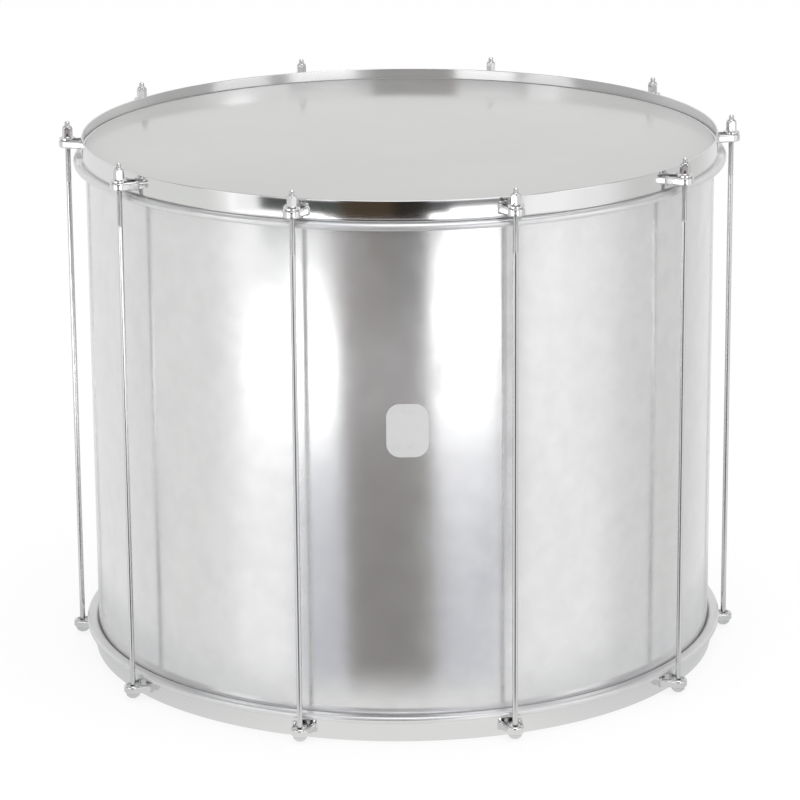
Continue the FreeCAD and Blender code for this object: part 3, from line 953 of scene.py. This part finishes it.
@dataclass
class TensionRod:
    """A drawn rod with a domed head below and a rolled thread above."""

    material: bpy.types.Material
    shank: float = 2.35 * MM
    crest: float = 2.5 * MM
    root: float = 2.1 * MM
    pitch: float = 0.8 * MM
    thread_long: float = 55.0 * MM
    bevel: float = 0.9 * MM
    head: float = 6.0 * MM
    head_tall: float = 4.4 * MM
    head_rim: float = 1.5 * MM
    head_face: float = 3.7 * MM
    head_lip: float = 0.3 * MM
    hairline: float = 0.001 * MM
    fade_turns: float = 2.0
    sharp: float = 40.0
    columns: int = 24
    rows_per_turn: int = 6
    dome_rows: int = 8

    def thread_radius(self, angle: float, height: float, low: float, high: float) -> float:
        """The rolled thread's radius at an angle and height, fading out at both ends.

        Args:
            angle: Angle about the rod.
            height: Height on the rod.
            low: Where the thread starts.
            high: The rod's tip.

        Returns:
            The radius.
        """
        phase = (height / self.pitch - angle / TAU) % 1.0
        wave = 0.5 - 0.5 * math.cos(TAU * phase)
        fade = min(1.0, max(0.0, (height - low) / (self.fade_turns * self.pitch)))
        full = self.root + (self.crest - self.root) * wave
        radius = self.shank + (full - self.shank) * fade
        below_tip = high - height
        if below_tip < self.bevel:
            radius = min(radius, self.crest - (self.bevel - below_tip))
        return radius

    def heights(self, low: float, high: float) -> list[float]:
        """The rows' heights: dome, rim, shank and thread.

        Args:
            low: The underside of the head.
            high: The rod's tip.

        Returns:
            The heights, upwards.
        """
        seat = low + self.head_tall
        thread = high - self.thread_long
        dome_tall = self.head_tall - self.head_rim
        dome = [low + dome_tall * (step / self.dome_rows) for step in range(self.dome_rows + 1)]
        rim = [seat - self.head_lip, seat, seat + self.hairline, seat + self.head_lip]
        step = self.pitch / self.rows_per_turn
        turns = int(self.thread_long / step)
        threads = [thread + step * row for row in range(turns)]
        return dome + rim + threads + [high]

    def radius_at(self, low: float, high: float) -> Callable[[float, float], float]:
        """The rod's radius as a function of angle and height.

        Args:
            low: The underside of the head.
            high: The rod's tip.

        Returns:
            The function.
        """
        seat = low + self.head_tall
        thread = high - self.thread_long
        dome_tall = self.head_tall - self.head_rim

        def radius(angle: float, height: float) -> float:
            """The rod's radius at one point.

            Args:
                angle: Angle about the rod in radians.
                height: Height on the rod.

            Returns:
                The radius.
            """
            if height <= low + dome_tall:
                share = (height - low) / dome_tall
                return self.head_face + (self.head - self.head_face) * math.sin(share * math.pi / 2.0)
            if height < seat:
                return self.head
            if height <= seat + self.hairline / 2.0:
                return self.head - self.head_lip
            if height < thread:
                return self.shank
            return self.thread_radius(angle, height, thread, high)

        return radius

    def build(self) -> None:
        """Makes one rod mesh and stands it at every lug."""
        low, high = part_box(numbered("tension_rod", 0))
        mesh = take_mesh(turned_field("rod_pattern", self.heights(low.z, high.z),
                                      self.radius_at(low.z, high.z), self.columns, self.sharp))
        for index in range(LUG_COUNT):
            node = numbered("tension_rod", index)
            box_low, box_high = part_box(node)
            middle = (box_low + box_high) / 2.0
            rod = stand(numbered("rod", index), mesh, (middle.x, middle.y, 0.0), lug_angle(index))
            settle(rod, "drum", self.material, [node])


@dataclass
class TensionNut:
    """A tall hexagon nut on a round foot, with a domed top."""

    material: bpy.types.Material
    flats: float = 8.0 * MM
    foot: float = 7.2 * MM
    foot_edge: float = 1.5 * MM
    foot_tall: float = 3.0 * MM
    lip: float = 0.35 * MM
    crown: float = 2.9 * MM
    dome: float = 6.2 * MM
    corner_share: float = 0.62
    flare_rows: int = 8
    dome_rows: int = 14
    columns: int = 72
    turn_step: float = math.radians(37.0)

    def hexagon(self, angle: float) -> float:
        """The hexagon's radius at this angle, with a corner at angle 0."""
        sixth = TAU / 6.0
        return self.flats / 2.0 / math.cos((angle % sixth) - sixth / 2.0)

    def radius_at(self, tall: float) -> Callable[[float, float], float]:
        """The outside radius as a function of angle and height above the seat.

        Args:
            tall: The nut's height.

        Returns:
            The function.
        """
        corner = self.flats * self.corner_share

        def radius(angle: float, height: float) -> float:
            """The nut's radius at one point.

            Args:
                angle: Angle about the nut in radians.
                height: Height above the seat.

            Returns:
                The radius.
            """
            if height <= self.lip:
                return self.foot - self.lip + height
            if height <= self.foot_edge:
                return self.foot
            share = min(1.0, (height - self.foot_edge) / (self.foot_tall - self.foot_edge))
            flare = self.foot + (self.flats / 2.0 - self.foot) * math.sin(share * math.pi / 2.0)
            down = min(1.0, max(0.0, (tall - height) / self.dome))
            domed = self.crown + (corner - self.crown) * math.sqrt(down * (2.0 - down))
            flats = min(self.hexagon(angle), domed)
            return max(flare, flats) if share < 1.0 else flats

        return radius

    def heights(self, tall: float) -> list[float]:
        """The rows' heights: foot, flare, flats and dome.

        Args:
            tall: The nut's height.

        Returns:
            The heights, upwards.
        """
        flare_rise = (self.foot_tall - self.foot_edge) / self.flare_rows
        flare = [self.foot_edge + flare_rise * step for step in range(self.flare_rows + 1)]
        dome = [tall - self.dome * (1.0 - step / self.dome_rows) ** 2
                for step in range(self.dome_rows + 1)]
        return [0.0, self.lip] + flare + dome

    def build(self) -> None:
        """Makes one nut mesh and seats it at every lug, each turned as it stopped."""
        low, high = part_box(numbered("tension_nut", 0))
        tall = high.z - low.z
        mesh = take_mesh(turned_field("nut_pattern", self.heights(tall), self.radius_at(tall),
                                      self.columns))
        for index in range(LUG_COUNT):
            node = numbered("tension_nut", index)
            box_low, box_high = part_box(node)
            middle = (box_low + box_high) / 2.0
            place = (middle.x, middle.y, box_low.z)
            nut = stand(numbered("nut", index), mesh, place, lug_angle(index) + self.turn_step * index)
            settle(nut, numbered("nut", index), self.material, [node])


# The studio

@dataclass(frozen=True)
class Panel:
    """A soft-edged part of the studio's walls, seen only in reflections.

    Azimuth 0 is the camera's side (-Y) and 90 is +X. Elevations are degrees above the horizon. A
    panel without a low or a high edge has no end that way.
    """

    azimuth: float
    half: float
    colour: Colour
    low: Optional[float] = None
    high: Optional[float] = None
    side_blur: float = 8.0
    rise_blur: float = 5.0


@dataclass(frozen=True)
class Lamp:
    """A round soft lamp that points at the drum's middle."""

    name: str
    place: Point3
    size: float
    power: float

    def hang(self, aim: Vector) -> None:
        """Hangs the lamp.

        Args:
            aim: The point that it shines at.
        """
        data = bpy.data.lights.new(f"{self.name}_lamp", "AREA")
        data.shape = "DISK"
        data.size = self.size
        data.energy = self.power
        lamp = bpy.data.objects.new(f"{self.name}_lamp", data)
        lamp.location = self.place
        lamp.rotation_euler = (aim - Vector(self.place)).to_track_quat("-Z", "Y").to_euler()
        bpy.context.scene.collection.objects.link(lamp)


@dataclass
class Studio:
    """Pale floor, soft lamps, the walls that the metal mirrors, and the camera.

    The panels hang in the order in which they are listed, so that a later one covers an earlier one.
    """

    pale: Colour = (0.86, 0.86, 0.86)
    ceiling: Colour = (0.38, 0.38, 0.385)
    ceiling_span: Span = (3.0, 12.0)
    diffuse_wall: Colour = (0.9, 0.9, 0.9)
    panels: tuple[Panel, ...] = (
        # Wide pale walls: behind the drum, above it and on both sides
        Panel(180.0, 68.0, (0.84, 0.84, 0.84), low=0.0, high=45.0, side_blur=30.0, rise_blur=10.0),
        Panel(-5.0, 42.0, (0.75, 0.75, 0.76), low=26.0, side_blur=16.0),
        Panel(-85.0, 28.0, (0.79, 0.80, 0.78), high=9.0, side_blur=30.0),
        Panel(108.0, 30.0, (0.70, 0.70, 0.69), high=9.0, side_blur=30.0),
        # Bright cards on the left and the right of the camera
        Panel(-52.0, 14.0, (1.04, 1.04, 1.04), high=9.0, side_blur=14.0),
        Panel(-48.0, 11.5, (2.20, 2.20, 2.20), low=-14.1, high=9.0, side_blur=10.0, rise_blur=3.0),
        Panel(58.0, 22.0, (0.97, 0.97, 0.97), high=9.0, side_blur=22.0),
        Panel(48.0, 14.0, (1.08, 1.08, 1.08), low=-17.0, high=9.0, side_blur=14.0),
        # The shell's two grey strips, each brighter towards its top
        Panel(-31.0, 9.0, (0.52, 0.53, 0.58), side_blur=7.0),
        Panel(-31.8, 8.4, (1.02, 1.02, 1.02), low=-15.2, high=9.0, side_blur=7.0),
        Panel(-32.2, 8.2, (3.40, 3.40, 3.40), low=-13.4, high=9.0, side_blur=4.0, rise_blur=3.0),
        Panel(23.0, 12.0, (0.55, 0.56, 0.61), side_blur=7.0),
        Panel(23.0, 12.0, (1.15, 1.15, 1.15), low=-15.7, high=9.0, side_blur=7.0),
        Panel(21.6, 11.8, (3.20, 3.20, 3.20), low=-13.7, high=9.0, side_blur=4.0, rise_blur=3.0),
        Panel(38.5, 3.0, (0.38, 0.38, 0.39), low=-22.0, high=9.0, side_blur=2.0),
        # The playing head's two light patches and the duller zones under them
        Panel(29.0, 13.0, (2.60, 2.60, 2.60), low=9.5, high=22.0, side_blur=6.0, rise_blur=3.0),
        Panel(-33.0, 13.0, (2.60, 2.60, 2.60), low=9.5, high=22.0, side_blur=6.0, rise_blur=3.0),
        Panel(-5.0, 46.0, (0.60, 0.60, 0.60), low=2.0, high=9.0, side_blur=4.0, rise_blur=3.0),
        Panel(-5.0, 46.0, (0.40, 0.40, 0.40), low=-3.0, high=4.0, side_blur=4.0, rise_blur=3.0),
        # Dark patches that the chromed band shows, and one bright gap between them
        Panel(22.0, 15.0, (0.24, 0.24, 0.25), low=-4.0, high=4.0, rise_blur=3.0),
        Panel(12.0, 5.0, (0.085, 0.085, 0.09), low=-7.4, high=4.0, side_blur=3.0, rise_blur=3.0),
        Panel(-55.5, 5.0, (1.10, 1.10, 1.10), low=-13.0, high=12.0, side_blur=2.0, rise_blur=1.0),
        Panel(-36.0, 14.6, (0.07, 0.08, 0.075), low=-8.8, high=4.0, side_blur=2.0, rise_blur=3.0),
        Panel(-24.0, 3.4, (0.24, 0.23, 0.21), low=-11.0, high=-8.0, side_blur=2.0, rise_blur=1.0),
        # The dark middle, from the shell's foot up to the band
        Panel(-6.4, 15.3, (0.088, 0.073, 0.06), high=30.0, side_blur=3.0, rise_blur=10.0),
        Panel(8.5, 3.4, (0.085, 0.075, 0.06), high=-15.5, side_blur=4.0, rise_blur=2.0),
        Panel(-6.4, 15.3, (0.07, 0.05, 0.032), low=-12.7, high=30.0, side_blur=2.0, rise_blur=1.0),
        Panel(3.0, 6.0, (0.025, 0.022, 0.018), low=-12.0, high=20.0, side_blur=3.0, rise_blur=1.0),
        # The bright line along the top of the shell
        Panel(-6.4, 15.0, (1.25, 1.20, 1.26), low=-13.5, high=-12.2, side_blur=4.0, rise_blur=1.0),
        Panel(-32.2, 9.0, (7.50, 7.50, 7.50), low=-13.3, high=-12.1, side_blur=4.0, rise_blur=1.0),
        Panel(-50.0, 9.0, (3.60, 3.60, 3.60), low=-13.5, high=-12.1, side_blur=4.0, rise_blur=1.0),
    )
    floor_radius: float = 7.0
    floor_segments: int = 128
    floor_colour: Colour = (0.86, 0.86, 0.86)
    glow: float = 1.035
    glow_share: float = 0.8
    near_floor: float = 0.085
    near_fade: Span = (-0.04, 0.05)
    # The near floor that reflections see: a plain tone in front, and painted shade that darkens it beside
    # the drum, faded in across X
    near_front: Colour = (0.86, 0.86, 0.85)
    near_side_shade: Colour = (0.66, 0.665, 0.67)
    near_shade_span: Span = (0.10, 0.30)
    lamps: tuple[Lamp, ...] = (
        Lamp("overhead", (0.3, -0.4, 3.2), size=2.4, power=22.0),
        Lamp("left", (-3.0, -1.6, 1.9), size=1.6, power=9.0),
        Lamp("right", (3.0, -1.4, 1.7), size=1.6, power=9.0),
    )
    lamp_aim: Point3 = (0.0, 0.0, 0.25)
    camera_place: Point3 = (0.0, -3.172, 1.142)
    heading: float = math.radians(-0.6)
    pitch: float = math.radians(15.22)
    roll: float = math.radians(0.42)
    lens: float = 163.97
    sensor: float = 36.0
    aside: float = -0.0015
    rise: float = -0.0793
    sight: Span = (0.1, 60.0)

    def build(self) -> None:
        """Makes everything that isn't part of the drum."""
        self.make_world()
        self.make_floor()
        for lamp in self.lamps:
            lamp.hang(Vector(self.lamp_aim))
        self.make_camera()
        bpy.context.scene.view_settings.view_transform = "Standard"

    def make_world(self) -> None:
        """Wires the walls: plain for the camera and for diffuse light, panelled for reflections."""
        world = bpy.data.worlds.new("studio_walls")
        bpy.context.scene.world = world
        world.use_nodes = True
        wiring = Wiring(world.node_tree)
        outlook = wiring.add("ShaderNodeTexCoord").outputs["Generated"]
        direction = wiring.add("ShaderNodeSeparateXYZ", Vector=outlook)
        toward_camera = wiring.math("MULTIPLY", direction.outputs["Y"], -1.0)
        azimuth = wiring.math("DEGREES", wiring.math("ARCTAN2", direction.outputs["X"], toward_camera))
        elevation = wiring.math("DEGREES", wiring.math("ARCSINE", direction.outputs["Z"]))
        colour = wiring.mix(wiring.spread(elevation, *self.ceiling_span, 0.0, 1.0), self.pale, self.ceiling)
        for panel in self.panels:
            colour = self.hang(wiring, panel, azimuth, elevation, colour)
        ray = wiring.add("ShaderNodeLightPath")
        seen = wiring.mix(ray.outputs["Is Camera Ray"], colour, WHITE)
        plain = wiring.mix(ray.outputs["Is Diffuse Ray"], seen, self.diffuse_wall)
        light = wiring.add("ShaderNodeBackground", Color=plain, Strength=1.0)
        wiring.add("ShaderNodeOutputWorld", Surface=light.outputs[0])

    @staticmethod
    def hang(wiring: Wiring, panel: Panel, azimuth: bpy.types.NodeSocket,
             elevation: bpy.types.NodeSocket, behind: bpy.types.NodeSocket) -> bpy.types.NodeSocket:
        """Lays one panel over what is behind it.

        Args:
            wiring: The world's tree.
            panel: The panel.
            azimuth: Azimuth of the direction, in degrees.
            elevation: Elevation of the direction, in degrees.
            behind: The colour so far.

        Returns:
            The colour with the panel.
        """
        away = wiring.math("SUBTRACT", azimuth, panel.azimuth)
        away = wiring.math("ADD", away, FULL_TURN + HALF_TURN)
        away = wiring.math("SUBTRACT", wiring.math("FLOORED_MODULO", away, FULL_TURN), HALF_TURN)
        inner, outer = panel.half - panel.side_blur / 2.0, panel.half + panel.side_blur / 2.0
        mask = wiring.spread(wiring.math("ABSOLUTE", away), inner, outer, 1.0, 0.0, smooth=True)
        reach = panel.rise_blur / 2.0
        if panel.low is not None:
            above = wiring.spread(elevation, panel.low - reach, panel.low + reach, 0.0, 1.0, smooth=True)
            mask = wiring.math("MULTIPLY", mask, above)
        if panel.high is not None:
            below = wiring.spread(elevation, panel.high - reach, panel.high + reach, 1.0, 0.0, smooth=True)
            mask = wiring.math("MULTIPLY", mask, below)
        return wiring.mix(mask, behind, panel.colour)

    def make_floor(self) -> None:
        """Lays the pale floor; reflections see only the part near the drum, and the walls beyond."""
        bm = bmesh.new()
        bmesh.ops.create_circle(bm, cap_ends=True, segments=self.floor_segments, radius=self.floor_radius)
        floor = finish_mesh("floor", bm)
        material = bpy.data.materials.new("pale_floor")
        material.use_nodes = True
        wiring = Wiring(material.node_tree)
        place = wiring.add("ShaderNodeTexCoord").outputs["Object"]
        away = wiring.add("ShaderNodeVectorMath", {"operation": "LENGTH"})
        wiring.feed(away.inputs[0], place)
        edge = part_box("bottom_counterhoop")[1].x + self.near_floor
        fade_from, fade_to = (edge + reach for reach in self.near_fade)
        far = wiring.spread(away.outputs["Value"], fade_from, fade_to, 0.0, 1.0, smooth=True)
        ray = wiring.add("ShaderNodeLightPath")
        lit = wiring.add("ShaderNodeBsdfDiffuse", Color=self.floor_colour)
        white = wiring.add("ShaderNodeEmission", Color=WHITE, Strength=self.glow)
        parts = wiring.add("ShaderNodeSeparateXYZ", Vector=place)
        # Painted shade: in reflections the near floor glows darker beside the drum than in front of it,
        # going by distance across X
        side = wiring.spread(wiring.math("ABSOLUTE", parts.outputs["X"]), *self.near_shade_span, 0.0, 1.0)
        tone = wiring.mix(side, self.near_front, self.near_side_shade)
        near = wiring.add("ShaderNodeEmission", Color=tone, Strength=1.0)
        clear = wiring.add("ShaderNodeBsdfTransparent")
        lift = wiring.math("MULTIPLY", ray.outputs["Is Camera Ray"], self.glow_share)
        shown = wiring.add("ShaderNodeMixShader", Fac=lift)
        wiring.feed(shown.inputs[1], lit.outputs[0])
        wiring.feed(shown.inputs[2], white.outputs[0])
        mirrored = wiring.add("ShaderNodeMixShader", Fac=far)
        wiring.feed(mirrored.inputs[1], near.outputs[0])
        wiring.feed(mirrored.inputs[2], clear.outputs[0])
        whole = wiring.add("ShaderNodeMixShader", Fac=ray.outputs["Is Glossy Ray"])
        wiring.feed(whole.inputs[1], shown.outputs[0])
        wiring.feed(whole.inputs[2], mirrored.outputs[0])
        wiring.add("ShaderNodeOutputMaterial", Surface=whole.outputs[0])
        dress(floor, material)

    def make_camera(self) -> None:
        """Stands the camera where the photograph was taken from."""
        data = bpy.data.cameras.new("photo_camera")
        data.lens = self.lens
        data.sensor_width = self.sensor
        data.shift_x = self.aside
        data.shift_y = self.rise
        data.clip_start, data.clip_end = self.sight
        camera = bpy.data.objects.new("photo_camera", data)
        turn = Matrix.Rotation(self.heading, 4, "Z")
        tilt = Matrix.Rotation(math.pi / 2.0 - self.pitch, 4, "X")
        spin = Matrix.Rotation(-self.roll, 4, "Z")
        camera.location = turn @ Vector(self.camera_place)
        camera.rotation_euler = (turn @ tilt @ spin).to_euler()
        bpy.context.scene.collection.objects.link(camera)
        bpy.context.scene.camera = camera


def main() -> None:
    """Builds the sub-assemblies in order, then the studio."""
    logging.basicConfig(level=logging.INFO, format="%(name)s: %(message)s")
    rng = random.Random(SEED)
    chrome = BrightPlating("hoop_chrome").build()
    ear_chrome = BrightPlating(
        "ear_chrome", colour=(0.66, 0.67, 0.68), smudged=(0.54, 0.55, 0.56), clean=0.20, dull=0.34,
        wave_scale=260.0, wave=0.10,
    ).build()
    weld_chrome = BrightPlating("weld_chrome", clean=0.2, dull=0.35, wave_scale=900.0, wave=0.5).build()
    rod_plating = BrightPlating(
        "rod_plating", colour=(0.86, 0.865, 0.87), smudged=(0.78, 0.785, 0.79), clean=0.38, dull=0.50,
        smudge_scale=40.0, wave_scale=1200.0, wave=0.02, stretch=14.0,
    ).build()
    film = MilkyFilm("milky_film").build()
    flesh_sheet = BrushedSheet("flesh_hoop_sheet", sheen=0.33, dull=0.42, mirror_share=0.85).build()
    Shell().build()
    for end in End:
        Head(end, film, flesh_sheet).build()
        Counterhoop(end, chrome, ear_chrome, weld_chrome).build(rng)
    TensionRod(rod_plating).build()
    TensionNut(rod_plating).build()
    Studio().build()


if __name__ == "__main__":
    main()
